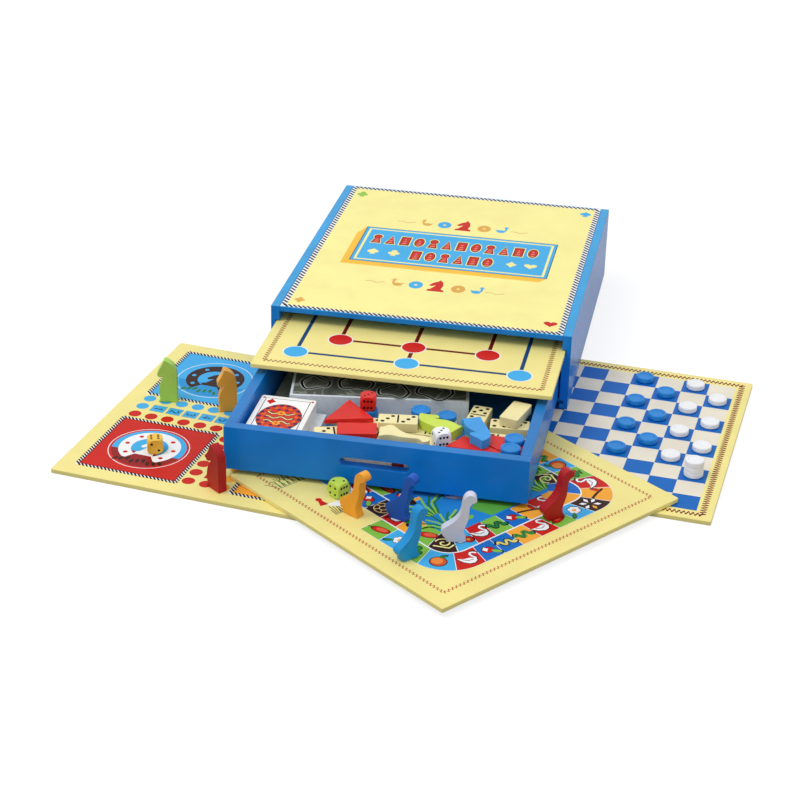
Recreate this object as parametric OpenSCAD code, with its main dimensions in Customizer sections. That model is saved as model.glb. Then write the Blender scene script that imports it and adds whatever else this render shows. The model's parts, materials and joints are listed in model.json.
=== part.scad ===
// Games compendium box: a lacquered case with a drawer, a pull-out board in grooves,
// three loose boards laid out around it, and the playing pieces.
// Millimetres, +Z up, the case's front faces -Y.
// The origin is on the table, under the middle of the whole laid-out set.

/* [Case] */
// Width of the case, outside
case_w = 330; // [300:1:380]
// Depth of the case, front to back
case_d = 375; // [345:1:420]
// Height of the case
case_h = 87; // [84:1:110]
// Thickness of the two side panels
side_t = 9.5; // [8:0.5:14]
// Thickness of the printed top panel
top_t = 6; // [4:0.5:8]
// Thickness of the back panel
back_t = 6; // [4:0.5:9]
// Thickness of the bottom panel
bottom_t = 4; // [3:0.5:4.5]
// Depth of the grooves in the side panels
groove_d = 4.5; // [3:0.5:6]
// Height of the bottom panel's underside above the case's foot
bottom_z = 5.8; // [5.8:0.1:9]
// How far the bottom panel stays back from the case's front
bottom_back = 4; // [2:0.5:12]
// Height of the pull-out board's underside above the case's foot
morris_z = 64.5; // [64:0.5:70]

/* [Drawer] */
// Height of the drawer's walls
drawer_h = 47.5; // [44:0.5:50]
// Depth of the drawer, outside
drawer_d = 360; // [300:1:362]
// Thickness of the drawer's walls
drawer_t = 11; // [8:0.5:13]
// Thickness of the drawer's floor
floor_t = 4; // [3:0.5:6]
// Height of the floor's underside above the drawer's lower edge
floor_z = 3; // [2:0.5:6]
// Depth of the groove that holds the drawer's floor
floor_groove = 5; // [3:0.5:6]
// Gap between the drawer and each side of the case
drawer_gap = 1.5; // [1:0.1:3]
// Gap between the drawer and the panel that it runs on
run_gap = 0.4; // [0.2:0.1:1]
// How far the drawer is pulled out
drawer_out = 230.5; // [150:0.5:234]
// Length of the finger slot in the drawer's front
slot_w = 70; // [50:1:90]
// Height of the finger slot
slot_h = 9.5; // [7:0.5:12]

/* [Boards] */
// Side of the square boards
board_w = 318; // [312:1:318]
// Thickness of the boards
board_t = 5; // [4:0.1:5.2]
// Radius of the boards' corners
board_r = 2; // [1:0.5:4]
// Play of the pull-out board in its groove, above and below
board_play = 0.4; // [0.3:0.1:0.8]
// Play of the pull-out board at the bottom of each groove
side_play = 1; // [0.5:0.1:1.5]
// How far the pull-out board is pulled out
morris_out = 109.5; // [60:0.5:160]

/* [Where things lie] */
// Middle of the case, left to right
case_x = -15; // [-40:1:10]
// Front face of the case
case_y = 25; // [0:1:50]
// Horse race board: middle of its right edge, left to right
horse_edge_x = -8.46; // [-30:0.01:-4]
// Horse race board: middle of its right edge, front to back
horse_edge_y = -113.35; // [-140:0.01:-90]
// Horse race board: turn
horse_board_turn = -7.5; // [-12:0.5:0]
// Draughts board: middle of its left edge, left to right
draughts_edge_x = 14.08; // [12:0.01:40]
// Draughts board: middle of its left edge, front to back
draughts_edge_y = 6.48; // [-20:0.01:30]
// Draughts board: turn
draughts_board_turn = -4.9; // [-10:0.1:0]
// Goose board: middle, left to right
goose_board_x = 60.4; // [40:0.1:80]
// Goose board: middle, front to back
goose_board_y = -177.85; // [-200:0.01:-176]
// Goose board: turn
goose_board_turn = 52.5; // [45:0.5:60]
// Gap under a thing that rests on another
rest_gap = 0.2; // [0.1:0.05:0.3]

/* [Playing pieces] */
// Height of a goose
goose_h = 51; // [40:1:55]
// Height of a horse
horse_h = 49; // [40:1:55]
// Thickness of the flat-cut geese and horses
figure_t = 10; // [6:0.5:11]
// Edge of a dice
die_w = 16; // [12:0.5:16]
// Roundness of a dice: its corner radius from the middle, over half its edge
die_round = 1.42; // [1.3:0.01:1.6]
// Diameter of a draughtsman
man_d = 20; // [14:0.5:20]
// Thickness of a draughtsman
man_t = 6; // [4:0.5:6]
// Depth of the dish in a draughtsman's face
man_dish = 0.8; // [0.3:0.1:1.2]
// Width of a draughtsman's rim
man_rim = 3; // [2:0.5:4]
// Margin of the draughts board around its squares
board_margin = 17; // [12:0.5:24]

/* [Things in the drawer] */
// Length of a domino
domino_l = 40; // [34:1:40]
// Width of a domino
domino_w = 20; // [16:1:20]
// Thickness of a domino
domino_t = 10; // [7:0.5:10]
// Corner radius of a domino
domino_r = 2; // [1:0.5:4]
// Thickness of the flat shape puzzle's pieces
shape_t = 5; // [3:0.5:5]
// Width of a playing card
card_w = 58; // [54:0.5:58]
// Length of a playing card
card_l = 84; // [80:0.5:88]
// Thickness of a pack of cards
pack_t = 15; // [12:0.5:16]
// Margin of the card carton around a card
carton_margin = 1; // [0.5:0.5:1.5]
// Corner radius of a playing card
card_r = 3; // [2:0.5:5]
// Width of the white box
box_w = 186; // [160:1:190]
// Depth of the white box
box_d = 120; // [90:1:140]
// Height of the white box
box_h = 29; // [24:0.5:34]
// Thickness of the printed sheets on the white box
sheet_t = 1; // [0.6:0.1:1.5]
// Width of the rule booklet
booklet_w = 200; // [160:1:204]
// Depth of the rule booklet
booklet_d = 140; // [100:1:150]
// Thickness of the rule booklet
booklet_t = 3; // [1.5:0.5:4]
// Length of a pick-up stick
stick_l = 100; // [90:1:180]
// Diameter of a pick-up stick
stick_d = 3; // [2:0.1:3.1]
// Length of a stick's pointed end
stick_tip = 9; // [5:1:14]

/* [Hidden] */
$fn = 48;

// Colours
case_blue = [0.10, 0.38, 0.70];
board_cream = [0.93, 0.88, 0.58];
tile_cream = [0.90, 0.84, 0.62];
paper_white = [0.92, 0.92, 0.92];
bright_red = [0.82, 0.15, 0.14];
men_blue_paint = [0.12, 0.40, 0.75];

// Small rest between a board and the cut that guides it
slack = 0.01;

// Heights above the table
case_z = board_t + rest_gap;
drawer_z = case_z + bottom_z + bottom_t + run_gap;
floor_top = drawer_z + floor_z + floor_t;
goose_board_z = board_t + rest_gap;

// Inside of the case and the drawer
inner_w = case_w - 2 * side_t;
pull_out_w = inner_w + 2 * (groove_d - side_play);
drawer_w = inner_w - 2 * drawer_gap;
drawer_inner_w = drawer_w - 2 * drawer_t;
drawer_y = case_y - drawer_out;
drawer_in_y = drawer_y + drawer_t;
pile_gap = 0.1;
men_in_pile = 5;
pile_h = men_in_pile * (man_t + pile_gap);
on_shape = pile_h + shape_t + pile_gap;

// The two boards that lie on the table, from the middles of their inner edges
horse_board_x = horse_edge_x - board_w / 2 * cos(horse_board_turn);
horse_board_y = horse_edge_y - board_w / 2 * sin(horse_board_turn);
draughts_board_x = draughts_edge_x + board_w / 2 * cos(draughts_board_turn);
draughts_board_y = draughts_edge_y + board_w / 2 * sin(draughts_board_turn);
squares_across = 10;
square_w = (board_w - 2 * board_margin) / squares_across;

// ---------- outlines ----------

// The outlines of a goose and a horse for a figure 50 high, facing +X, from one foot
// round the back and the head to the other foot. A smooth curve runs through them.
goose_points = [
    [-9, 0], [-9.6, 3], [-12, 6.2], [-14, 9.6], [-13.4, 13], [-10.2, 15.8], [-5.8, 18.8],
    [-0.8, 23.2], [2.7, 28.6], [4.3, 34.2], [4.9, 40], [6.2, 45.4], [9.2, 49], [12.6, 50],
    [16, 48.6], [18.2, 45.2], [17.4, 42.4], [13.8, 40.6], [11.9, 37.2], [11.4, 33], [11.1, 27],
    [10, 21], [8.1, 15.6], [7, 10.6], [7.6, 5.4], [9.2, 2], [9.2, 0]
];
horse_points = [
    [-10.6, 0], [-10, 4], [-9.8, 14], [-9.9, 26], [-9.4, 36], [-6.9, 43.2], [-2.2, 47.6],
    [1.6, 49.6], [3.9, 50], [5, 47.2], [6.8, 43], [9.4, 38.6], [11.5, 34.2], [10.2, 30.4],
    [7, 30.2], [3.6, 31.8], [6, 27.4], [8.9, 21.6], [10.2, 15], [10, 9], [8.9, 4], [10.6, 0]
];
figure_unit = 50;
curve_steps = 3;

function on_curve(a, b, c, d, t) =
    0.5 * (2 * b + (c - a) * t + (2 * a - 5 * b + 4 * c - d) * t * t
    + (3 * b - a - 3 * c + d) * t * t * t);

function smooth(p, last) = [
    for (i = [0 : last - 1])
        for (k = [0 : curve_steps - 1])
            on_curve(p[max(i - 1, 0)], p[i], p[i + 1], p[min(i + 2, last)], k / curve_steps),
    p[last]
];

corner_steps = 5;

// A rectangle round the origin whose corners are arcs of radius r
function rounded_outline(w, d, r) = [
    for (quarter = [0 : 3])
        for (k = [0 : corner_steps])
            let (
                sx = quarter == 0 || quarter == 3 ? 1 : -1,
                sy = quarter < 2 ? 1 : -1,
                angle = 90 * (quarter + k / corner_steps)
            )
            [sx * (w / 2 - r) + r * cos(angle), sy * (d / 2 - r) + r * sin(angle)]
];

module rounded_plate(w, d, t, r) {
    linear_extrude(t) polygon(rounded_outline(w, d, r));
}

// A flat-cut figure that lies on its back: its foot along -Y, its middle at the origin
module flat_figure(points, h) {
    linear_extrude(figure_t)
        translate([0, -h / 2])
            polygon(smooth(points, len(points) - 1) * h / figure_unit);
}

// The same figure standing on its foot
module standing_figure(points, h) {
    translate([0, figure_t / 2, h / 2]) rotate([90, 0, 0]) flat_figure(points, h);
}

module die() {
    translate([0, 0, die_w / 2])
        intersection() {
            cube(die_w, center = true);
            sphere(die_w / 2 * die_round);
        }
}

// A turned draughtsman with a chamfered rim and a shallow dish in its upper face
module man() {
    chamfer = man_t / 8;
    rotate_extrude()
        polygon([
            [0, 0], [man_d / 2 - chamfer, 0], [man_d / 2, chamfer],
            [man_d / 2, man_t - chamfer], [man_d / 2 - chamfer, man_t],
            [man_d / 2 - man_rim, man_t], [man_d / 2 - man_rim - man_dish, man_t - man_dish],
            [0, man_t - man_dish]
        ]);
}

module domino() {
    rounded_plate(domino_l, domino_w, domino_t, domino_r);
}

module stick() {
    blunt = stick_d / 6;
    rotate([0, 90, 0]) {
        translate([0, 0, -stick_l / 2]) cylinder(h = stick_tip, r1 = blunt, r2 = stick_d / 2);
        translate([0, 0, stick_tip - stick_l / 2]) cylinder(h = stick_l - 2 * stick_tip, d = stick_d);
        translate([0, 0, stick_l / 2 - stick_tip]) cylinder(h = stick_tip, r1 = stick_d / 2, r2 = blunt);
    }
}

// ---------- places ----------

module at_case() { translate([case_x, case_y, case_z]) children(); }
module at_drawer() { translate([case_x, drawer_y, drawer_z]) children(); }
// Inside of the drawer: y from the front wall's inner face, z from the floor, x from the middle
// or from the inner face of the left or right wall
module in_drawer() { translate([case_x, drawer_in_y, floor_top]) children(); }
module from_left() { in_drawer() translate([-drawer_inner_w / 2, 0, 0]) children(); }
module from_right() { in_drawer() translate([drawer_inner_w / 2, 0, 0]) children(); }
module on_horse_board(x, y, turn) {
    translate([horse_board_x, horse_board_y, board_t + rest_gap])
        rotate(horse_board_turn) translate([x, y, 0]) rotate(turn - horse_board_turn) children();
}
module on_goose_board(x, y, turn) {
    translate([goose_board_x, goose_board_y, goose_board_z + board_t + rest_gap])
        rotate(goose_board_turn) translate([x, y, 0]) rotate(turn - goose_board_turn) children();
}
// A square of the draughts board, counted from its back right corner
module on_square(column, row, z) {
    half = squares_across / 2 * square_w;
    translate([draughts_board_x, draughts_board_y, board_t + rest_gap + z])
        rotate(draughts_board_turn)
            translate([half - (column - 0.5) * square_w, half - (row - 0.5) * square_w, 0])
                children();
}

// ---------- case ----------

module side_panel(dir) {
    groove_h = board_t + 2 * board_play;
    color(case_blue)
        at_case()
            difference() {
                translate([dir > 0 ? inner_w / 2 : -case_w / 2, 0, 0]) cube([side_t, case_d, case_h]);
                translate([dir > 0 ? inner_w / 2 - slack : -inner_w / 2 - groove_d,
                           -slack, morris_z - board_play])
                    cube([groove_d + slack, case_d - back_t + slack, groove_h]);
                translate([dir > 0 ? inner_w / 2 - slack : -inner_w / 2 - groove_d, -slack, bottom_z])
                    cube([groove_d + slack, case_d - back_t + slack, bottom_t]);
            }
}

module case_left_side() { side_panel(-1); }

module case_right_side() { side_panel(1); }

module case_top_panel() {
    color(board_cream)
        at_case()
            translate([-inner_w / 2, 0, case_h - top_t]) cube([inner_w, case_d, top_t]);
}

module case_back_panel() {
    color(case_blue)
        at_case()
            translate([-inner_w / 2, case_d - back_t, 0]) cube([inner_w, back_t, case_h - top_t]);
}

module case_bottom_panel() {
    color(case_blue)
        at_case()
            translate([-inner_w / 2 - groove_d, bottom_back, bottom_z])
                cube([inner_w + 2 * groove_d, case_d - back_t - bottom_back, bottom_t]);
}

// ---------- drawer ----------

// The slab that the floor fills: the grooves of all four walls are cut with it
module floor_slab() {
    inset = drawer_t - floor_groove;
    translate([-drawer_w / 2 + inset, inset, floor_z])
        cube([drawer_w - 2 * inset, drawer_d - 2 * inset, floor_t]);
}

module finger_slot() {
    round_x = slot_w / 2 - slot_h / 2;
    translate([0, drawer_t / 2, drawer_h / 2])
        rotate([90, 0, 0])
            linear_extrude(2 * drawer_t, center = true) {
                square([2 * round_x, slot_h], center = true);
                for (side = [-1, 1]) translate([side * round_x, 0]) circle(slot_h / 2);
            }
}

module drawer_front() {
    color(case_blue)
        at_drawer()
            difference() {
                translate([-drawer_w / 2, 0, 0]) cube([drawer_w, drawer_t, drawer_h]);
                floor_slab();
                finger_slot();
            }
}

module drawer_side(dir) {
    color(case_blue)
        at_drawer()
            difference() {
                translate([dir > 0 ? drawer_w / 2 - drawer_t : -drawer_w / 2, drawer_t, 0])
                    cube([drawer_t, drawer_d - drawer_t, drawer_h]);
                floor_slab();
            }
}

module drawer_left_side() { drawer_side(-1); }

module drawer_right_side() { drawer_side(1); }

module drawer_back() {
    color(case_blue)
        at_drawer()
            difference() {
                translate([-drawer_w / 2 + drawer_t, drawer_d - drawer_t, 0])
                    cube([drawer_w - 2 * drawer_t, drawer_t, drawer_h]);
                floor_slab();
            }
}

module drawer_floor() {
    color(case_blue) at_drawer() floor_slab();
}

// ---------- boards ----------

module morris_board() {
    color(board_cream)
        at_case()
            translate([0, pull_out_w / 2 - morris_out, morris_z])
                rounded_plate(pull_out_w, pull_out_w, board_t, board_r);
}

module horse_race_board() {
    color(board_cream)
        translate([horse_board_x, horse_board_y, 0])
            rotate(horse_board_turn) rounded_plate(board_w, board_w, board_t, board_r);
}

module draughts_board() {
    color(board_cream)
        translate([draughts_board_x, draughts_board_y, 0])
            rotate(draughts_board_turn) rounded_plate(board_w, board_w, board_t, board_r);
}

module goose_board() {
    color(board_cream)
        translate([goose_board_x, goose_board_y, goose_board_z])
            rotate(goose_board_turn) rounded_plate(board_w, board_w, board_t, board_r);
}

// ---------- pieces on the boards ----------

module horse_green() {
    color([0.55, 0.74, 0.25])
        on_horse_board(-110.9, 22.5, 11) mirror([1, 0, 0]) standing_figure(horse_points, horse_h);
}

module horse_yellow() {
    color([0.91, 0.62, 0.18])
        on_horse_board(-43.0, 25.2, 22) mirror([1, 0, 0]) standing_figure(horse_points, horse_h);
}

module horse_red() {
    color([0.66, 0.12, 0.14])
        on_horse_board(14.0, -135.5, -38) mirror([1, 0, 0]) standing_figure(horse_points, horse_h);
}

module die_yellow() {
    color([0.95, 0.72, 0.20]) on_horse_board(-76.2, -86.9, 20) die();
}

module goose_orange() {
    color([0.93, 0.55, 0.16]) on_goose_board(-112.7, 21, -31) standing_figure(goose_points, goose_h);
}

module goose_navy() {
    color([0.10, 0.25, 0.65]) on_goose_board(-82.5, -13.3, -19) standing_figure(goose_points, goose_h);
}

module goose_light_blue() {
    color([0.12, 0.50, 0.80]) on_goose_board(-124.6, -73.1, 48) standing_figure(goose_points, goose_h);
}

module goose_white() {
    color([0.85, 0.86, 0.90]) on_goose_board(-68.1, -77.7, 12) standing_figure(goose_points, goose_h);
}

module goose_red() {
    color([0.65, 0.12, 0.12]) on_goose_board(34.5, -106.8, 39) standing_figure(goose_points, goose_h);
}

module die_green() {
    color([0.66, 0.80, 0.35]) on_goose_board(-100.7, 58, 55) die();
}

// Squares of the men on the board, as [column, row]
blue_squares = [[1, 4], [2, 3], [3, 4], [4, 3], [5, 4], [6, 3], [7, 4]];
white_squares = [[1, 2], [2, 1], [3, 2], [4, 1], [5, 2], [6, 1], [7, 2]];
white_stack = [8, 1];
white_stack_n = 3;

module men_blue() {
    color(men_blue_paint) for (s = blue_squares) on_square(s[1], s[0], 0) man();
}

module men_white() {
    color(paper_white) for (s = white_squares) on_square(s[1], s[0], 0) man();
}

module men_white_stack() {
    color(paper_white)
        for (i = [0 : white_stack_n - 1])
            on_square(white_stack[1], white_stack[0], i * (man_t + pile_gap)) man();
}

// ---------- things in the drawer ----------

// Card carton: its left edge from the left wall, its near edge from the front wall
carton_place = [12, 0.5];
// Pack of cards: the middle of its near edge, from the left and the front wall
cards_place = [33, 1.5];
// Rule booklet: its left near corner, from the left and the front wall
booklet_place = [3, 91.5];
// White box: its left near corner, from the left and the front wall, and its turn
box_place = [32, 88];
box_turn = 8.6;
sheet_margin = 3;

module card_carton() {
    color(paper_white)
        from_left() translate(carton_place)
            cube([card_w + 2 * carton_margin, card_l + 2 * carton_margin, pack_t]);
}

module card_deck() {
    color(paper_white)
        from_left() translate(cards_place) translate([0, card_l / 2, pack_t + pile_gap])
            rounded_plate(card_w, card_l, pack_t, card_r);
}

module rule_booklet() {
    color([0.72, 0.74, 0.66])
        from_left() translate(booklet_place) cube([booklet_w, booklet_d, booklet_t]);
}

module on_booklet(z) {
    from_left() translate(box_place) translate([0, 0, booklet_t + z]) rotate(box_turn) children();
}

module white_box() {
    color(paper_white) on_booklet(pile_gap) cube([box_w, box_d, box_h]);
}

module printed_sheets() {
    color([0.35, 0.38, 0.36])
        on_booklet(box_h + 2 * pile_gap) translate([sheet_margin, sheet_margin, 0])
            cube([box_w - 2 * sheet_margin, box_d - 2 * sheet_margin, sheet_t]);
}

// Piles of dominoes, as [x, y, turn, how many, turn of the top one],
// with x from the left wall or, below zero, from the right wall
domino_piles_left = [[94, 25.5, 0, 3, 18], [138, 25.5, 0, 3, 0], [116, 52.5, 0, 3, 0]];
domino_piles_right = [
    [-84, 25.5, 0, 3, 0], [-21, 25.5, 0, 3, 0], [-102, 48.5, 0, 3, 0],
    [-30, 48.5, 0, 3, 0], [-22, 81, 0, 3, 5], [-56.5, 94, 90, 3, 84]
];
// Single dominoes on top of the piles, as [x, y, turn]
top_domino_left = [155, 46.5, 8];
top_domino_right = [-18.2, 93, 76];

module domino_pile(p) {
    for (i = [0 : p[3] - 1])
        translate([p[0], p[1], i * (domino_t + pile_gap)]) rotate(i == p[3] - 1 ? p[4] : p[2]) domino();
}

module top_domino(p) {
    translate([p[0], p[1], pile_h]) rotate(p[2]) domino();
}

module dominoes() {
    color(tile_cream) {
        from_left() {
            for (p = domino_piles_left) domino_pile(p);
            top_domino(top_domino_left);
        }
        from_right() {
            for (p = domino_piles_right) domino_pile(p);
            top_domino(top_domino_right);
        }
    }
}

// Outlines of the flat puzzle shapes, seen from above, from the left and the right wall
shapes_left = [
    [[81, 36.5], [129, 51.5], [96, 86.5]],
    [[95, 34], [134.1, 42.5], [139.1, 18.9], [100, 10.4]]
];
shapes_right = [
    [[-76, 10.5], [-16, 9], [-62, 36.5]],
    [[-48, 44.5], [-1, 42.5], [-1, 11.5], [-14, 10], [-49, 30.9]]
];

module shape_puzzle() {
    color(bright_red) {
        from_left() translate([0, 0, pile_h])
            for (outline = shapes_left) linear_extrude(shape_t) polygon(outline);
        from_right() translate([0, 0, pile_h])
            for (outline = shapes_right) linear_extrude(shape_t) polygon(outline);
    }
}

// Sticks lie in layers behind the drawer's front, their tips at the end of the finger slot
stick_columns = 3;
stick_layers = 6;
stick_pitch = stick_d + pile_gap;

module pick_up_sticks() {
    color([0.85, 0.72, 0.48])
        in_drawer()
            for (column = [0 : stick_columns - 1])
                for (layer = [0 : stick_layers - 1])
                    translate([(slot_w - stick_l) / 2 - pile_gap, (column + 0.5) * stick_pitch + rest_gap,
                               (layer + 0.5) * stick_pitch])
                        stick();
}

// Piles of spare men, as [x, y, how many]
blue_pile_left = [117, 81, 5];
blue_pile_right = [-114, 81, 6];
white_pile_left = [150, 48.5, 5];
white_pile_right = [-86, 75.5, 5];
// Single blue men on top of other things, as [x, y, z], from the right wall
top_men = [[-86, 75.5, pile_h], [-10.6, 33, on_shape], [-11.5, 12.5, on_shape]];

module man_pile(p) {
    for (i = [0 : p[2] - 1]) translate([p[0], p[1], i * (man_t + pile_gap)]) man();
}

module spare_men_blue() {
    color(men_blue_paint) {
        from_left() man_pile(blue_pile_left);
        from_right() {
            man_pile(blue_pile_right);
            for (p = top_men) translate(p) man();
        }
    }
}

module spare_men_white() {
    color(paper_white) {
        from_left() man_pile(white_pile_left);
        from_right() man_pile(white_pile_right);
    }
}

module stored_goose_cream() {
    color(tile_cream)
        from_left() translate([167, 20.5, pile_h]) rotate(-82) flat_figure(goose_points, goose_h);
}

module stored_horse_lime() {
    color([0.70, 0.82, 0.30])
        from_right() translate([-91.4, 49.8, pile_h]) rotate(62) flat_figure(horse_points, horse_h);
}

module stored_horse_blue() {
    color([0.30, 0.60, 0.88])
        from_right() translate([-47.5, 35, on_shape]) rotate(-153) flat_figure(horse_points, horse_h);
}

module stored_die_red() {
    color(bright_red) from_left() translate([117, 81, pile_h]) rotate(8) die();
}

module stored_die_white() {
    color(paper_white) from_right() translate([-82.4, 21.4, pile_h]) rotate(30) die();
}

case_top_panel();
case_left_side();
case_right_side();
case_back_panel();
case_bottom_panel();
drawer_front();
drawer_left_side();
drawer_right_side();
drawer_back();
drawer_floor();
morris_board();
horse_race_board();
draughts_board();
goose_board();
horse_green();
horse_yellow();
horse_red();
die_yellow();
die_green();
goose_orange();
goose_navy();
goose_light_blue();
goose_white();
goose_red();
men_blue();
men_white();
men_white_stack();
card_deck();
card_carton();
white_box();
printed_sheets();
rule_booklet();
dominoes();
shape_puzzle();
pick_up_sticks();
spare_men_blue();
spare_men_white();
stored_goose_cream();
stored_horse_lime();
stored_horse_blue();
stored_die_red();
stored_die_white();
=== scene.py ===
"""Looks of the games compendium box: lacquer, paint, printed boards, camera and studio."""
import json
import random
from functools import cache
from math import atan2, copysign, cos, degrees, pi, radians, sin

import bmesh
import bpy
from mathutils import Matrix, Vector


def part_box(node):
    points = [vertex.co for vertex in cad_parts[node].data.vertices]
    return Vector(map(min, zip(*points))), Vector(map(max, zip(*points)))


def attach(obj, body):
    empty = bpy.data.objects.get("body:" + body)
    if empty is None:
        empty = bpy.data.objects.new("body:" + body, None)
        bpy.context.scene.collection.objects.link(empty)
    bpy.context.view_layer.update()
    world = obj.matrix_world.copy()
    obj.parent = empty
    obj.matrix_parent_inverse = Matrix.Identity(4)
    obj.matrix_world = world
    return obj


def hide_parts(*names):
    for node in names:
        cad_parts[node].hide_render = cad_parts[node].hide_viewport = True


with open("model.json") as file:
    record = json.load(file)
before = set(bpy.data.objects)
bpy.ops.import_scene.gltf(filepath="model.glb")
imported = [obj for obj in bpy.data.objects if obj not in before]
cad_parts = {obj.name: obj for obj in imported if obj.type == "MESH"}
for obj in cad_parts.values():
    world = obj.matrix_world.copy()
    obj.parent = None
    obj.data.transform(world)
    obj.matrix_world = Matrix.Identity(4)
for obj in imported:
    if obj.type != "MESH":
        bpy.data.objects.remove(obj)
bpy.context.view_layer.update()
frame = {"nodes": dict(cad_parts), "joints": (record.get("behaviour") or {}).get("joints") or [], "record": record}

MM = 0.001
UP = Vector((0, 0, 1))
record = frame["record"]
NODE_BODY = {n: body for body, names in record["behaviour"]["bodies"].items() for n in names}
NODE_SLOT = {part["node"]: part["material_slot"] for part in record["subparts"]}
JOINT_AXIS = {joint["name"]: Vector(joint["axis"]).normalized() for joint in frame["joints"]}


# ---------- colours, as they look on the object, 0 to 255 ----------

# The second and third blues are lighter lacquer for upward faces near the top of the case and the drawer: a
# painted highlight of the light on the rims
LACQUER_BLUE, LACQUER_HIGHLIGHT, DRAWER_LACQUER_HIGHLIGHT = (14, 126, 222), (44, 160, 222), (34, 122, 196)
CREAM, PRINT_CREAM, GREY_CREAM = (246, 232, 146), (255, 242, 158), (236, 228, 210)
WHITE, CARD_WHITE, BLACK, BROWN = (246, 246, 248), (250, 250, 248), (18, 18, 22), (54, 26, 18)
SKY, LOW_SKY, PRINT_BLUE, TRACK_BLUE = (66, 176, 234), (40, 150, 216), (18, 104, 190), (30, 110, 196)
LINE_BLUE, CARD_NAVY, STITCH_NAVY = (22, 68, 118), (34, 40, 92), (6, 16, 40)
WATER, PALE_WATER, DARK_WATER = (40, 138, 214), (122, 204, 244), (20, 92, 176)
RED, LOW_RED, DARK_RED = (206, 32, 20), (150, 26, 28), (108, 20, 18)
CORAL, CARD_RED, STITCH_RED = (232, 96, 60), (214, 60, 34), (140, 16, 34)
ORANGE, SIDE_ORANGE, CARD_ORANGE = (248, 170, 54), (252, 196, 62), (232, 112, 40)
FRUIT, FRUIT_SHADE, PLATE_PINK = (244, 140, 58), (214, 84, 34), (246, 168, 136)
OCHRE, TAN, STITCH_TAN = (228, 172, 78), (190, 140, 70), (190, 104, 64)
STRAW, PALE_STRAW = (214, 186, 120), (226, 214, 120)
LEAF, DEEP_GREEN, CLUB_GREEN = (128, 190, 66), (40, 124, 58), (150, 200, 80)
REED_GREEN, POND_GREEN = (150, 206, 70), (96, 176, 70)
BIRD_GREY, SHEET_PALE, SHEET_GREY = (170, 178, 188), (206, 210, 206), (126, 132, 128)


def linear(colour):
    """An 8-bit colour as linear red, green, blue and alpha."""
    def channel(v):
        v = v / 255
        return v / 12.92 if v <= 0.04045 else ((v + 0.055) / 1.055) ** 2.4
    return (*map(channel, colour), 1.0)


def shade(colour, factor):
    return tuple(min(255, max(0, round(c * factor))) for c in colour)


# ---------- materials ----------

# Features of the noise in a metre
CLOUDS, SMEARS, RIPPLES, GRAIN = 28.0, 90.0, 420.0, 60.0
CURLS, PRINT_FIBRES, CARD_FIBRES = 16.0, 700.0, 260.0
# Lowest and highest roughness
LACQUERED, GLAZED, POLISHED = (0.18, 0.3), (0.25, 0.35), (0.25, 0.4)
SATIN, VARNISHED = (0.3, 0.45), (0.32, 0.45)


def add_node(tree, kind, inputs={}, **settings):
    """A new shader node. inputs gives its sockets values, or the outputs that are linked to them."""
    made = tree.nodes.new("ShaderNode" + kind)
    for name, value in settings.items():
        setattr(made, name, value)
    feed(tree, made, inputs)
    return made


def feed(tree, target, inputs):
    """Sets or links the inputs of a node. A node given as an input stands for its first output."""
    for socket, value in inputs.items():
        if isinstance(value, bpy.types.Node):
            value = value.outputs[0]
        if isinstance(value, bpy.types.NodeSocket):
            tree.links.new(value, target.inputs[socket])
        else:
            target.inputs[socket].default_value = value


def new_material(name):
    """A new material with its node tree and its shader."""
    material = bpy.data.materials.new(name)
    material.use_nodes = True
    return material, material.node_tree, material.node_tree.nodes["Principled BSDF"]


def place_along(tree, axis, space="Object"):
    """The place along an axis, in the object's own coordinates unless space says otherwise."""
    return add_node(tree, "SeparateXYZ", {"Vector": add_node(tree, "TexCoord").outputs[space]}).outputs[axis]


def noise(tree, scale, detail=3.0, stretch=(1, 1, 1), distortion=0.0):
    """Noise in the object's own coordinates. Its scale is in features per metre."""
    coordinates = add_node(tree, "TexCoord").outputs["Object"]
    mapping = add_node(tree, "Mapping", {"Vector": coordinates, "Scale": stretch})
    inputs = {"Vector": mapping, "Scale": scale, "Detail": detail, "Distortion": distortion}
    return add_node(tree, "TexNoise", inputs)


def ramp(tree, source, stops):
    """The colour that belongs to source. stops is a list of (place, colour)."""
    made = add_node(tree, "ValToRGB", {"Fac": source})
    while len(made.color_ramp.elements) < len(stops):
        made.color_ramp.elements.new(0.5)
    for element, (place, colour) in zip(made.color_ramp.elements, stops):
        element.position = place
        element.color = linear(colour)
    return made.outputs["Color"]


def surface(tree, shader, colour, gloss_noise, rough, bump_noise, strength, height):
    """Feeds the shader its colour, a roughness between the two of rough, and bumps of a height in metres."""
    rough = add_node(tree, "MapRange", {"Value": gloss_noise, "To Min": rough[0], "To Max": rough[1]})
    bump = add_node(tree, "Bump", {"Height": bump_noise, "Strength": strength, "Distance": height})
    feed(tree, shader, {"Base Color": colour, "Roughness": rough, "Normal": bump})


def paint(name, colour, rough=SATIN, drift=0.05, ripple=0.3, gloss=0.25):
    """Brushed or sprayed paint: colour that drifts a little, uneven gloss and a fine surface ripple."""
    material, tree, shader = new_material(name)
    drifting = ramp(tree, noise(tree, CLOUDS, 4.0),
                    [(0.25, shade(colour, 1 - drift)), (0.75, shade(colour, 1 + drift))])
    surface(tree, shader, drifting, noise(tree, SMEARS), rough, noise(tree, RIPPLES, 2.0), ripple, 0.0004)
    shader.inputs["Specular IOR Level"].default_value = gloss
    return material


def lacquer(name, colour):
    return paint(name, colour, LACQUERED, ripple=0.2, gloss=0.2)


@cache
def ink(colour):
    """Printing ink under the boards' satin varnish."""
    return paint("ink_%02x%02x%02x" % colour, colour, VARNISHED, drift=0.025, ripple=0.08, gloss=0.12)


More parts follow.
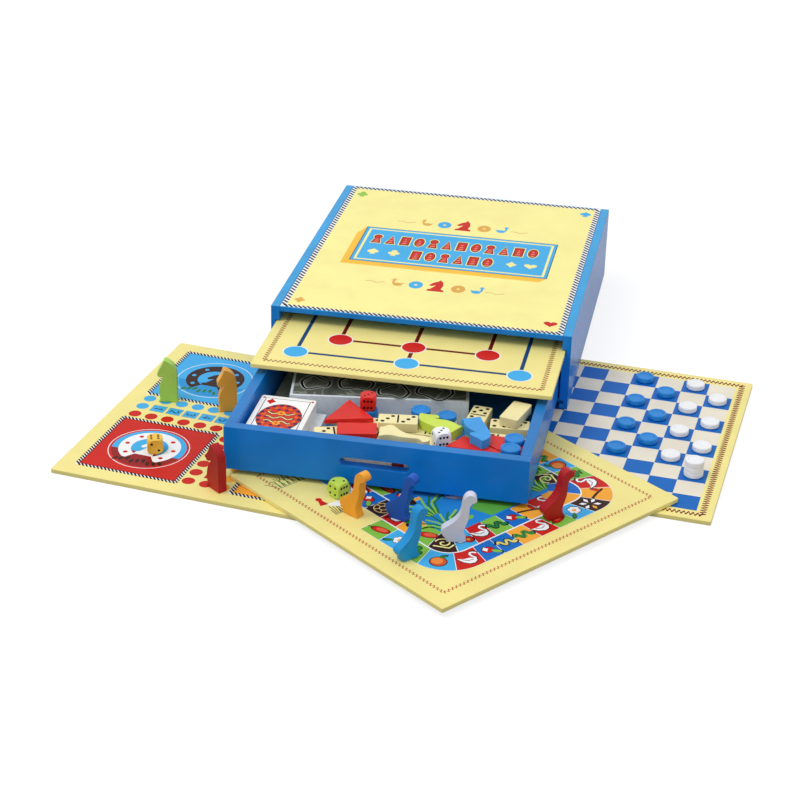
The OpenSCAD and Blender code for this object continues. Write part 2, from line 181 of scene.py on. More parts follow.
def banded_wood(name, bands):
    """Pale bare wood with painted bands along X. bands is a list of (start, end, colour) in metres."""
    material, tree, shader = new_material(name)
    grain = noise(tree, GRAIN, 6.0, (1, 14, 14))
    colour_so_far = ramp(tree, grain, [(0.3, (252, 238, 204)), (0.7, (255, 250, 228))])
    place = place_along(tree, "X")
    for start, end, colour in bands:
        inputs = {0: place, 1: (start + end) / 2, 2: (end - start) / 2}
        inside = add_node(tree, "Math", inputs, operation="COMPARE")
        inputs = {"Factor": inside, "A": colour_so_far, "B": linear(colour)}
        colour_so_far = add_node(tree, "Mix", inputs, data_type="RGBA").outputs["Result"]
    surface(tree, shader, colour_so_far, grain, (0.45, 0.6), grain, 0.2, 0.0003)
    return material


def grey_print(name):
    """Dark grey printed paper: cloudy ground with pale curling lines."""
    material, tree, shader = new_material(name)
    clouds = ramp(tree, noise(tree, CURLS, 5.0, distortion=1.6),
                  [(0.30, (56, 60, 56)), (0.47, (88, 94, 86)), (0.50, (140, 146, 138)), (0.53, (76, 82, 76)),
                   (0.75, (112, 118, 108))])
    fibres = noise(tree, PRINT_FIBRES)
    surface(tree, shader, clouds, fibres, (0.35, 0.5), fibres, 0.1, 0.0002)
    return material


def card_board(name, colour):
    """Matt card or paper with fine fibres."""
    material, tree, shader = new_material(name)
    fibres = noise(tree, CARD_FIBRES, 6.0)
    tint = ramp(tree, fibres, [(0.3, shade(colour, 0.94)), (0.7, colour)])
    surface(tree, shader, tint, fibres, (0.5, 0.7), fibres, 0.15, 0.0003)
    return material


# Painted bands of the sticks: from where to where along X, in metres, and their colours
STICK_BANDS = [(0.0002, 0.0125, (150, 26, 26)), (-0.07, -0.058, (40, 70, 150))]
MATERIALS = {slot: make(slot, *values) for slot, (make, *values) in {
    "blue_lacquer": (lacquer, LACQUER_BLUE),
    "green_paint": (paint, (172, 220, 96)),
    "yellow_paint": (paint, (244, 178, 60)),
    "orange_paint": (paint, (250, 168, 50)),
    "dark_red_paint": (paint, (176, 22, 28), SATIN, 0.06),
    "bright_red_paint": (paint, (222, 40, 34)),
    "navy_paint": (paint, (24, 88, 190), SATIN, 0.06),
    "blue_paint": (paint, (30, 134, 214), POLISHED),
    "white_paint": (paint, (244, 245, 248), SATIN, 0.015),
    "cream_paint": (paint, (246, 234, 176), SATIN, 0.03, 0.25),
    "playing_card": (paint, (248, 248, 246), GLAZED, 0.012, 0.05),
    "white_card": (card_board, (226, 234, 242)),
    "grey_print": (grey_print,),
    "booklet_paper": (card_board, (196, 198, 168)),
}.items()}
MATERIALS["printed_board"] = paint("board_varnish", CREAM, VARNISHED, 0.02, 0.1)
MATERIALS["bare_wood"] = banded_wood("stick_wood", STICK_BANDS)
# Nodes whose paint differs from that of their slot
SPECIAL_PAINT = {
    "goose_light_blue": paint("light_blue_paint", (24, 148, 218)),
    "goose_white": paint("pale_grey_paint", (214, 219, 236), drift=0.03),
    "die_yellow": paint("die_yellow_paint", (252, 200, 72), GLAZED, 0.04, 0.2),
    "die_green": paint("die_green_paint", (196, 226, 88), GLAZED, 0.04, 0.2),
    "stored_horse_blue": paint("sky_blue_paint", (62, 158, 230)),
    "stored_horse_lime": paint("lime_paint", (206, 228, 88)),
    "horse_yellow": paint("horse_yellow_paint", (240, 174, 66), drift=0.06),
}
# Lighter lacquer for upward faces near the top of the case and the drawer: painted highlight
TOP_HIGHLIGHT_LACQUER = lacquer("lacquer_painted_highlight", LACQUER_HIGHLIGHT)
DRAWER_HIGHLIGHT_LACQUER = lacquer("drawer_lacquer_painted_highlight", DRAWER_LACQUER_HIGHLIGHT)


# ---------- pieces eased from the CAD solids ----------

PRINT_ROOM = 0.2  # how far a printed face is lowered, in millimetres
HIGHLIGHT_DEPTH = 2  # upward faces this near to the top take the lighter lacquer, a painted highlight, in millimetres
SAME_PLACE = 1e-6  # vertices closer than this are one, in metres
FLAT = radians(0.6)  # faces that meet at less than this are one


def link(obj, body, slot):
    bpy.context.scene.collection.objects.link(obj)
    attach(obj, body)


def eased(node, radius, segments=2, sharp=25, top_drop=0.0, lacquered=False):
    """Stands for a CAD node: the same solid with edges of more than sharp degrees eased by radius, in
    millimetres. top_drop lowers its upper face to leave room for the print on it."""
    mesh = frame["nodes"][node].data.copy()
    mesh.name = node + "_eased"
    mesh.materials.clear()
    slot = "blue_lacquer" if lacquered else NODE_SLOT[node]
    lacquered = slot == "blue_lacquer"
    mesh.materials.append(SPECIAL_PAINT.get(node, MATERIALS[slot]))
    top = max(v.co.z for v in mesh.vertices)
    solid = bmesh.new()
    solid.from_mesh(mesh)
    bmesh.ops.remove_doubles(solid, verts=solid.verts, dist=SAME_PLACE)
    bmesh.ops.dissolve_limit(solid, angle_limit=FLAT, verts=solid.verts, edges=solid.edges)
    if top_drop:
        for v in solid.verts:
            if v.co.z > top - SAME_PLACE:
                v.co.z -= top_drop * MM
    edges = [e for e in solid.edges if len(e.link_faces) == 2 and e.calc_face_angle(0) > radians(sharp)]
    bmesh.ops.bevel(solid, geom=edges, offset=radius * MM, segments=segments, profile=0.5,
                    affect="EDGES", clamp_overlap=True)
    solid.normal_update()
    # Upward faces near the top of lacquered parts take the lighter lacquer: a painted highlight
    if lacquered:
        mesh.materials.append(DRAWER_HIGHLIGHT_LACQUER if node.startswith("drawer") else TOP_HIGHLIGHT_LACQUER)
    for face in solid.faces:
        face.smooth = True
        upward = face.normal.z > 0.6 and face.calc_center_median().z > top - HIGHLIGHT_DEPTH * MM
        face.material_index = int(lacquered and upward)
    solid.to_mesh(mesh)
    solid.free()
    obj = bpy.data.objects.new(node + "_eased", mesh)
    link(obj, NODE_BODY[node], NODE_SLOT[node])
    obj.modifiers.new("even_normals", "WEIGHTED_NORMAL").keep_sharp = True
    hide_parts(node)


PLAIN, BOARD = dict(radius=0.6), dict(radius=0.7, sharp=40, top_drop=PRINT_ROOM)
FIGURE, CARD = dict(radius=1.1, segments=3, sharp=40), dict(radius=0.1, segments=1)
DIE, MAN = dict(radius=0.5, sharp=15), dict(radius=0.25, sharp=15)
EASING = (
    (PLAIN, "case_left_side case_right_side case_back_panel case_bottom_panel drawer_front"),
    (PLAIN, "drawer_left_side drawer_right_side drawer_back drawer_floor"),
    (dict(radius=0.4, top_drop=PRINT_ROOM, lacquered=True), "case_top_panel"),
    (BOARD, "morris_board horse_race_board draughts_board goose_board"),
    (FIGURE, "horse_green horse_yellow horse_red goose_orange goose_navy goose_light_blue goose_white"),
    (FIGURE, "goose_red stored_goose_cream stored_horse_lime stored_horse_blue"),
    (DIE, "die_yellow die_green stored_die_red stored_die_white"),
    (MAN, "men_blue men_white men_white_stack spare_men_blue spare_men_white"),
    (dict(radius=0.5, sharp=40), "dominoes shape_puzzle"),
    (dict(radius=0.4), "white_box card_carton"),
    (CARD, "card_deck rule_booklet printed_sheets"),
    (dict(CARD, sharp=60), "pick_up_sticks"),
)
for how, names in EASING:
    for name in names.split():
        eased(name, **how)


# ---------- printing ----------

LAYER = 0.022  # height of one layer of a print over the next, in millimetres
MOTIF_LAYER = 4  # the lowest layer of the goose track's motifs
MOTIF_RIM_LAYER = 3.3  # the lowest layer of their dark rims, which lie closer together


def polar(r, turn, x=0.0, y=0.0):
    """The point at distance r from (x, y), in the direction turn in degrees."""
    return x + r * cos(radians(turn)), y + r * sin(radians(turn))


def moved(points, x, y, turn=0.0, scale=1.0):
    """Points scaled and turned by turn degrees about the origin, then moved by (x, y)."""
    c, n = scale * cos(radians(turn)), scale * sin(radians(turn))
    return [(x + a * c - b * n, y + a * n + b * c) for a, b in points]


def box_sides(w, h):
    """The sides of a box round the origin, as pairs of corners. w and h are half its width and height."""
    corners = [(-w, -h), (w, -h), (w, h), (-w, h)]
    return zip(corners, corners[1:] + corners[:1])


class Print:
    """Flat coloured shapes on a face, in millimetres in the face's own axes. Higher layers lie over lower."""

    def __init__(self, name, node, centre, across, normal=UP):
        self.name, self.body, self.slot = name, NODE_BODY[node], NODE_SLOT[node]
        self.centre, self.across, self.normal = Vector(centre), Vector(across), Vector(normal)
        self.upward = self.normal.cross(self.across)
        self.shapes = []
        self.rim = None  # the colour of a motif's rim, while that is drawn
        self.at(0, 0)

    def at(self, x, y, turn=0.0, scale=1.0):
        """What is drawn next has its own origin at (x, y), turned by turn degrees and scaled."""
        self.spot = (x, y, turn, scale)

    def shape(self, colour, points, layer=1):
        points = moved(points, *self.spot)
        area = sum(a[0] * b[1] - b[0] * a[1] for a, b in zip(points, points[1:] + points[:1]))
        if self.rim:
            colour, layer = self.rim, MOTIF_RIM_LAYER + (layer - MOTIF_LAYER) / 8
        self.shapes.append((colour, points if area > 0 else points[::-1], layer))

    def box(self, colour, x0, y0, x1, y1, layer=1):
        self.shape(colour, [(x0, y0), (x1, y0), (x1, y1), (x0, y1)], layer)

    def panel(self, colour, w, h, layer=1):
        """A box round the origin. w and h are half its width and height."""
        self.box(colour, -w, -h, w, h, layer)

    def disc(self, colour, x, y, r, layer=1, squash=1.0, steps=28):
        turns = [2 * pi * k / steps for k in range(steps)]
        self.shape(colour, [(x + r * cos(t), y + r * squash * sin(t)) for t in turns], layer)

    def arc(self, colour, x, y, r, width, start=0, end=360, layer=1, steps=32):
        turns = [start + (end - start) * k / steps for k in range(steps + 1)]
        self.stroke(colour, [polar(r, turn, x, y) for turn in turns], width, layer)

    def stroke(self, colour, points, width, layer=1):
        """A line of even width through points, drawn as one quad for each stretch."""
        sides = []
        for k, (x, y) in enumerate(points):
            before, after = points[max(k - 1, 0)], points[min(k + 1, len(points) - 1)]
            along = Vector((after[0] - before[0], after[1] - before[1])).normalized()
            off = Vector((-along.y, along.x)) * width / 2
            sides.append(((x + off.x, y + off.y), (x - off.x, y - off.y)))
        for (a, b), (c, d) in zip(sides, sides[1:]):
            self.shape(colour, [a, b, d, c], layer)

    def stitches(self, a, b, colour, pitch, length, width, lean, zigzag=False, layer=2):
        """A row of short stitches from a to b. In a zigzag each other one is finer and leans the other way."""
        start, run = Vector(a), Vector(b) - Vector(a)
        count = max(1, round(run.length / pitch))
        for k in range(count):
            back = zigzag and k % 2
            middle = start + run * (k + 0.5) / count
            turn = atan2(run.y, run.x) + radians(-lean if back else lean)
            half = Vector((cos(turn), sin(turn))) * length / 2
            self.stroke(colour, [middle - half, middle + half], width * (0.5 if back else 1.0), layer)

    def seam(self, colour, w, h, pitch, lean, side_pitch=None, **style):
        """Stitches that lean one way all round a box. side_pitch is for its left and right side."""
        for k, (a, b) in enumerate(box_sides(w, h)):
            if k % 2:
                self.stitches(a, b, colour, side_pitch or pitch, lean=-lean, **style)
            else:
                self.stitches(a, b, colour, pitch, lean=lean, **style)

    def place(self, point, layer):
        x, y = point[0] * MM, point[1] * MM
        return self.centre + self.across * x + self.upward * y + self.normal * (layer * LAYER * MM)

    def make(self):
        """Makes one mesh of the shapes, with an ink for each colour."""
        colours = sorted({colour for colour, _, _ in self.shapes})
        sheet = bmesh.new()
        for colour, points, layer in self.shapes:
            face = sheet.faces.new([sheet.verts.new(self.place(p, layer)) for p in points])
            face.material_index = colours.index(colour)
        sheet.normal_update()
        mesh = bpy.data.meshes.new(self.name)
        for colour in colours:
            mesh.materials.append(ink(colour))
        sheet.to_mesh(mesh)
        sheet.free()
        link(bpy.data.objects.new(self.name, mesh), self.body, self.slot)


def half_size(node):
    """Half of a node's size along X and Y, in millimetres."""
    low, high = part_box(node)
    return (high.x - low.x) / MM / 2, (high.y - low.y) / MM / 2


def printed_face(name, node, across=(1, 0, 0), drop=PRINT_ROOM):
    """A print on a node's upper face, with its middle at the node's middle."""
    low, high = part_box(node)
    return Print(name, node, ((low.x + high.x) / 2, (low.y + high.y) / 2, high.z - drop * MM), across)


# ---------- small motifs, drawn round (x, y) at size s, in millimetres ----------

BIRD_BODY = [(-0.5, 0.12), (-0.3, -0.2), (-0.05, -0.36), (0.2, -0.34), (0.36, -0.16), (0.34, 0.0), (0.1, 0.08),
             (-0.2, 0.04)]
BIRD_NECK = [(0.28, -0.12), (0.34, 0.04), (0.22, 0.2), (0.16, 0.36), (0.24, 0.48), (0.36, 0.48), (0.5, 0.4)]
KNIGHT = [(-0.42, -0.5), (0.42, -0.5), (0.4, -0.36), (0.24, -0.3), (0.3, 0.05), (0.22, 0.32), (0.06, 0.5),
          (-0.02, 0.36), (-0.2, 0.26), (-0.4, 0.02), (-0.3, -0.08), (-0.06, 0.02), (-0.26, -0.3), (-0.4, -0.36)]
# Strokes of the plain digits 1 to 6 in a box one high and 0.6 wide, round its middle
DIGITS = {
    1: [[(-0.12, 0.3), (0.04, 0.5), (0.04, -0.5)]],
    2: [[(-0.26, 0.28), (-0.14, 0.47), (0.12, 0.47), (0.26, 0.26), (0.2, 0.02), (-0.26, -0.47), (0.28, -0.47)]],
    3: [[(-0.25, 0.4), (0.05, 0.5), (0.24, 0.28), (0.04, 0.04), (0.26, -0.22), (0.05, -0.5), (-0.26, -0.4)]],
    4: [[(0.12, -0.5), (0.12, 0.5), (-0.28, -0.16), (0.3, -0.16)]],
    5: [[(0.24, 0.47), (-0.2, 0.47), (-0.22, 0.06), (0.08, 0.1), (0.26, -0.18), (0.05, -0.48), (-0.26, -0.4)]],
    6: [[(0.2, 0.46), (-0.1, 0.36), (-0.26, -0.1), (-0.2, -0.42), (0.06, -0.5), (0.26, -0.26), (0.08, 0.02),
         (-0.22, -0.08)]],
}


def heart_curve(x, y, s, flip=1):
    """A heart's outline, 32 times s wide. flip is -1 for one that stands on its head."""
    turns = [2 * pi * k / 36 for k in range(36)]
    highs = [13 * cos(t) - 5 * cos(2 * t) - 2 * cos(3 * t) - cos(4 * t) for t in turns]
    return [(x + s * 16 * sin(t) ** 3, y + s * flip * high) for t, high in zip(turns, highs)]


def suit_heart(p, colour, x, y, s, layer=2):
    p.shape(colour, heart_curve(x, y, s / 34), layer)


def suit_diamond(p, colour, x, y, s, layer=2):
    outline = []
    for k in range(20):
        t = radians(18 * k)
        r = s / 2 * (1 - 0.38 * abs(sin(2 * t)))
        outline.append((x + r * cos(t) * 0.82, y + r * sin(t)))
    p.shape(colour, outline, layer)


def suit_stem(p, colour, x, y, s, layer):
    p.shape(colour, [(x - s * 0.22, y - s * 0.5), (x + s * 0.22, y - s * 0.5), (x, y + s * 0.1)], layer)


def suit_spade(p, colour, x, y, s, layer=2):
    p.shape(colour, heart_curve(x, y + s * 0.08, s / 38, -1), layer)
    suit_stem(p, colour, x, y, s, layer + 0.2)


def suit_club(p, colour, x, y, s, layer=2):
    for turn in (90, 210, 330):
        p.disc(colour, *polar(s * 0.24, turn, x, y + s * 0.08), s * 0.22, layer + turn / 1000, steps=20)
    suit_stem(p, colour, x, y, s, layer + 0.6)


def star(p, colour, x, y, s, layer, points, depth):
    """A star of points rays, with its inner corners at a share depth of its radius."""
    outline = [polar(s / 2 * (depth if k % 2 else 1), 90 + 180 * k / points, x, y) for k in range(2 * points)]
    p.shape(colour, outline, layer)


def pawn(p, colour, x, y, s, layer):
    p.shape(colour, [(x - s * 0.3, y - s * 0.5), (x + s * 0.3, y - s * 0.5), (x + s * 0.12, y + s * 0.15),
                     (x - s * 0.12, y + s * 0.15)], layer)
    p.disc(colour, x, y + s * 0.28, s * 0.22, layer + 0.2, steps=20)


def leaf(p, colour, x, y, s, layer, turn):
    side = [(s / 2 * cos(pi * k / 10), s * 0.24 * sin(pi * k / 10)) for k in range(11)]
    p.shape(colour, moved(side + [(a, -b) for a, b in side[-2:0:-1]], x, y, turn), layer)


def flower(p, petal, middle, x, y, s, layer):
    for k in range(6):
        p.disc(petal, *polar(s * 0.28, 60 * k, x, y), s * 0.17, layer + k / 20, steps=14)
    p.disc(middle, x, y, s * 0.16, layer + 0.6, steps=14)


def swimming_bird(p, colour, x, y, s, layer):
    """A plain swimming bird: a pointed body, a curved neck and a small head with a bill."""
    p.shape(colour, moved(BIRD_BODY, x, y, scale=s), layer)
    p.stroke(colour, moved(BIRD_NECK, x, y, scale=s), s * 0.11, layer + 0.3)


def standing_bird(p, colour, x, y, side):
    """A long-necked bird 19 mm tall with its tail towards side."""
    p.disc(colour, x + side, y - 3.4, 5.2, 2, squash=0.8)
    p.shape(colour, [(x + side * 3, y - 6), (x + side * 9, y + 1.5), (x + side * 3, y)], 2.1)
    p.stroke(colour, [(x - side * 3, y - 3), (x - side * 5, y + 3), (x - side * 3.4, y + 8.6)], 2.8, 2.2)
    p.disc(colour, x - side * 4.2, y + 9, 2.2, 2.3, squash=1.2)
    p.stroke(colour, [(x - side * 4, y + 8.6), (x - side * 8, y + 7.6)], 1.4, 2.4)


def knight(p, colour, x, y, s, layer=2):
    """A chess knight's head on its foot."""
    p.shape(colour, [(x + a * s * 0.72, y + b * s) for a, b in KNIGHT], layer)


def horseshoe(p, colour, nail, x, y, s, layer):
    start, end, nails = -60, 240, 7
    p.arc(colour, x, y, s * 0.36, s * 0.18, start, end, layer)
    for k in range(nails):
        turn = start + 20 + (end - start - 40) * k / (nails - 1)
        p.disc(nail, *polar(s * 0.36, turn, x, y), s * 0.035, layer + 0.4, steps=10)


# ---------- the case's top ----------

TOP_SEAM = dict(pitch=5.2, side_pitch=6.8, length=8.2, width=2.4, lean=-46, layer=2.5)
SEAM_INSET = 3.0  # from the print's edge to the middle of its seam
SUITS = ((suit_club, CLUB_GREEN, -138.7, 162), (suit_spade, SKY, 138.7, 164),
         (suit_diamond, OCHRE, -138.2, -164.8), (suit_heart, RED, 138.3, -161.2))
SUIT_SIZE = 16
PLATE = (-110.5, -42.2, 118.6, 60.5)  # its left, lower, right and upper edge
PLATE_LEAN, PLATE_DROP = 8, 11  # how far its printed sides reach to the left and down
PLATE_FIELDS = ((0, LINE_BLUE, 2), (1.0, SKY, 3), (4.2, PRINT_CREAM, 4), (7.0, SKY, 5))
PLATE_ROWS = ((12, 1, 26.5), (6, 4, -12.5))  # how many pieces, and the row's middle
PLATE_SUITS = ((suit_spade, -88.6), (suit_club, -64.0), (suit_diamond, 73.2), (suit_heart, 95.5))
PLATE_SUITS_Y, ICON_ROWS_Y = -11.5, (87.5, -94.5)
TILE_PITCH, TILE_W, TILE_H = 16.8, 6.9, 14  # the last two are half of a piece's width and height
TILE_FIELDS = ((PRINT_CREAM, 1.0, 6), (DARK_RED, 0.84, 7), (RED, 0.66, 8))
# Pawn, oval, block and wedge, in a box that reaches 1 each way: an outline, and an oval's place, size and layer
TILES = (([(-1, -1), (1, -1), (0.45, 0.3), (-0.45, 0.3)], (0.5, 0.85, 0.5, 0.3)), (None, (0, 1, 1, 0)),
         ([(-1, -1), (1, -1), (1, 1), (-1, 1)], None), ([(-1, -1), (1, -1), (0, 1)], None))


def print_case_top():
    p = printed_face("case_top_print", "case_top_panel")
    w, h = half_size("case_top_panel")
    w, h, band = w - 0.6, h - 1.6, 2 * SEAM_INSET
    p.panel(PRINT_CREAM, w, h)
    p.panel(WHITE, w, h, 1.1)
    p.panel(PRINT_CREAM, w - band, h - band, 1.3)
    p.seam(STITCH_NAVY, w - SEAM_INSET, h - SEAM_INSET, **TOP_SEAM)
    for suit, colour, x, y in SUITS:
        suit(p, colour, x, y, SUIT_SIZE)
    # the plate, raised by its printed orange sides
    x0, y0, x1, y1 = PLATE
    x2, y2 = x0 - PLATE_LEAN, y0 - PLATE_DROP
    p.shape(SIDE_ORANGE, [(x0, y1), (x2, y1 - 2 * PLATE_DROP), (x2, y2), (x1 - PLATE_LEAN, y2), (x1, y0),
                          (x0, y0)], 1.6)
    for inset, colour, layer in PLATE_FIELDS:
        p.box(colour, x0 + inset, y0 + inset, x1 - inset, y1 - inset, layer)
    for count, x, y in PLATE_ROWS:
        print_plate_row(p, count, x, y)
    for suit, x in PLATE_SUITS:
        suit(p, PRINT_CREAM, x, PLATE_SUITS_Y, SUIT_SIZE, 6)
    for y in ICON_ROWS_Y:
        print_icon_row(p, y)
    p.make()


def tile(p, kind, colour, x, y, w, h, layer):
    outline, oval = TILES[kind]
    if outline:
        p.shape(colour, [(x + w * a, y + h * b) for a, b in outline], layer)
    if oval:
        up, wide, high, lift = oval
        p.disc(colour, x, y + h * up, w * wide, layer + lift, squash=h * high / (w * wide))


def print_plate_row(p, count, middle, y):
    """A row of tall red playing pieces with pale rims, dark edges and pink bars."""
    for k in range(count):
        x = middle + (k - (count - 1) / 2) * TILE_PITCH
        kind = (k * 3 + count) % len(TILES)
        for colour, share, layer in TILE_FIELDS:
            tile(p, kind, colour, x, y, TILE_W * share, TILE_H * share + (1 - share) * 5, layer)
        for bar, reach in enumerate((2.52, 1.8, 0.96)):
            low = y + TILE_H * (0.42 * bar - 0.62)
            p.stroke(PLATE_PINK, [(x - reach, low), (x + reach, low + 1.5)], 1.5, 8.2)


def print_icon_row(p, y):
    """A knight between two starred men, two birds and two thin waves."""
    for end in (-1, 1):
        wave = [(end * 68 - 11 + 2.4 * k, y - 2 + 1.6 * sin(k * 0.9)) for k in range(10)]
        p.stroke(TAN, wave, 0.9, 2)
    for x, colour, side in ((-43.5, OCHRE, 1), (47.5, SKY, -1)):
        standing_bird(p, colour, x, y, side)
    for x, colour in ((-22, SKY), (26, OCHRE)):
        p.disc(colour, x, y, 8, 2, squash=1.25)
        star(p, PRINT_CREAM, x, y, 5.5, 3, points=6, depth=0.5)
    knight(p, RED, 1.6, y + 3.5, 32)


# ---------- the morris board ----------

MORRIS_SEAM = dict(pitch=2.5, length=5.6, width=1.3, lean=64, zigzag=True)
MORRIS_SEAM_INSET, MORRIS_LINE, MORRIS_RING = 12, 4.2, 1.2
# Half of each square's width, the radius of its points, and its points' and lines' colours
MORRIS_SQUARES = ((119.8, 13.8, SKY, LINE_BLUE), (80.0, 13.8, RED, DARK_RED), (22.0, 7.2, LEAF, DEEP_GREEN))


def print_morris():
    p = printed_face("morris_print", "morris_board")
    edge = half_size("morris_board")[0] - MORRIS_SEAM_INSET
    p.seam(STITCH_RED, edge, edge, **MORRIS_SEAM)
    for reach, _, _, line in MORRIS_SQUARES:
        for side in box_sides(reach, reach):
            p.stroke(line, side, MORRIS_LINE)
    outer, inner = MORRIS_SQUARES[0][0], MORRIS_SQUARES[-1][0]
    for turn in (0, 90, 180, 270):
        p.stroke(DARK_RED, [polar(inner, turn), polar(outer, turn)], MORRIS_LINE, 1.3)
    for reach, radius, spot, _ in MORRIS_SQUARES:
        for x in (-reach, 0, reach):
            for y in (-reach, 0, reach):
                if x or y:
                    p.disc(WHITE, x, y, radius, 2)
                    p.disc(spot, x, y, radius - MORRIS_RING, 3)
    p.make()


# ---------- the horse race board ----------

YARD_SEAM = dict(pitch=4.2, length=7.0, width=1.9, lean=-48)
YARD_CENTRE, YARD_HALF, YARD_DISC = 84.5, 54.5, 39
# For the yard at each corner: its ground, its motif, and the upper and lower part of its disc
YARDS = {(-1, 1): (SKY, BROWN, SKY, LOW_SKY), (-1, -1): (RED, WHITE, SKY, LOW_RED),
         (1, -1): (ORANGE, BROWN, PRINT_CREAM, ORANGE), (1, 1): (LEAF, WHITE, SKY, DEEP_GREEN)}
# For each arm of the cross: the colour of its squares and of one row of discs, and that of the other row
ARMS = {(-1, 0): (SKY, RED), (0, -1): (RED, ORANGE), (1, 0): (ORANGE, LEAF), (0, 1): (LEAF, SKY)}
PITCH, STEPS, SPOT = 18.8, 7, 6.8  # between discs, discs in a row, and a disc's radius
SQUARE_W, SQUARE_H, SQUARE_EDGE, DIGIT_SIZE = 6.7, 7.6, 0.3, 9.5


def print_horse_race():
    p = printed_face("horse_race_print", "horse_race_board", -JOINT_AXIS["left_board_slide"])
    for (sx, sy), colours in YARDS.items():
        p.at(sx * YARD_CENTRE, sy * YARD_CENTRE)
        print_yard(p, *colours)
    p.at(0, 0)
    for arm, colours in ARMS.items():
        print_arm(p, *arm, *colours)
    star(p, RED, 0, 0, 26, 2, points=8, depth=0.55)
    p.make()


def print_yard(p, ground, motif, upper, lower):
    """A stitched square with a horseshoe and a knight on a disc of two colours."""
    p.panel(WHITE, YARD_HALF + 1.6, YARD_HALF + 1.6)
    p.panel(ground, YARD_HALF - 1.4, YARD_HALF - 1.4, 1.5)
    p.seam(BLACK, YARD_HALF, YARD_HALF, **YARD_SEAM)
    p.disc(lower, 0, 0, YARD_DISC, 2)
    p.shape(upper, [polar(YARD_DISC, -14 + 208 * k / 24) for k in range(25)], 2.5)
    p.arc(WHITE, 0, 0, YARD_DISC + 3, 0.9, layer=3)
    horseshoe(p, motif, ground, 0, 2, 72, 4)
    knight(p, motif, 0, 2, 34, 5)
    for k in range(9):
        grass = DEEP_GREEN if ground == SKY else BROWN
        leaf(p, grass, -24 + 6 * k, -30 + (k % 3) * 2, 8, 6 + k / 20, turn=60 + 8 * k)


def print_arm(p, ax, ay, home, other):
    """Two rows of discs from the middle outwards, with a row of numbered squares between them."""
    turn = degrees(atan2(ay, ax)) + 90
    for step in range(1, STEPS + 1):
        x, y = ax * step * PITCH, ay * step * PITCH
        rows = [(-1, home), (1, other)]
        for side, colour in rows[:1 if step == 1 else 2]:  # neighbouring arms share their first disc
            p.disc(colour, x - side * ay * PITCH, y + side * ax * PITCH, SPOT, 2)
        if step == STEPS:
            p.disc(home, x, y, SPOT, 2)
            continue
        p.at(x, y, turn)
        p.panel(BLACK, SQUARE_W + SQUARE_EDGE, SQUARE_H + SQUARE_EDGE, 1.6)
        p.panel(home, SQUARE_W, SQUARE_H, 2)
        for line in DIGITS[STEPS - step]:
            p.stroke(BLACK, moved(line, 0, 0, scale=DIGIT_SIZE), DIGIT_SIZE * 0.15, 3)
        p.at(0, 0)


# ---------- the goose board ----------

GOOSE_SEAM = dict(pitch=2.4, length=4.4, width=1.2, lean=62, zigzag=True)
GOOSE_SEAM_REACH = 139.5
# Corners of the spiral's two edges with the radius of each turn, from the start at the left edge to the pond
OUTER_EDGE = [(-125.7, -4.8, 0), (-125.7, -125.2, 43), (125.7, -125.2, 43), (125.7, 125.7, 43),
              (-97.1, 125.7, 38), (-97.1, -96.6, 23), (97.1, -96.6, 23), (97.1, 97.1, 23), (-67.9, 97.1, 20),
              (-67.9, 1, 0)]
INNER_EDGE = [(-98.1, -4.8, 0), (-98.1, -97.6, 25), (98.1, -97.6, 25), (98.1, 98.1, 25), (-68.9, 98.1, 20),
              (-68.9, -67.8, 6), (69.7, -67.8, 6), (69.7, 69.7, 6), (-40.2, 69.7, 6), (-40.2, 1, 0)]
CELLS = [25.4, 25.5, 25.4, 31.4, 27.7] + [23.1] * 28 + [21.6] * 30  # the cells' lengths
CELL_GAP, TRACK_WIDTH = 0.35, 28
CELL_COLOURS = {"G": LEAF, "S": SKY, "R": RED, "B": TRACK_BLUE, "O": ORANGE, "K": BROWN}
# The ground of each of the 63 cells
TRACK = "GSGSRBBORGSKORGSORKSGORBGSROKGSRBKROGKSRGBOROBKGSRGOSBRGKOSRGBO"
MOTIF_SCALES = ((1.3, BLACK), (1.14, None))  # a motif's dark rim, then the motif in its own colours


def rounded_path(corners, straight=40, bend=14):
    """Points along a line through corners given as (x, y, radius of the turn)."""
    points = [Vector(corners[0][:2])]

    def run_to(end):
        last = points[-1]
        points.extend(last.lerp(end, i / straight) for i in range(1, straight + 1))

    for before, here, after in zip(corners, corners[1:], corners[2:]):
        radius, here = here[2], Vector(here[:2])
        into, out = (here - Vector(before[:2])).normalized(), (Vector(after[:2]) - here).normalized()
        start = here - into * radius
        run_to(start)
        middle = start + out * radius
        angle = atan2(start.y - middle.y, start.x - middle.x)
        side = copysign(pi / 2, into.x * out.y - into.y * out.x)
        for i in range(1, bend + 1):
            t = angle + side * i / bend
            points.append(middle + radius * Vector((cos(t), sin(t))))
    run_to(Vector(corners[-1][:2]))
    return points


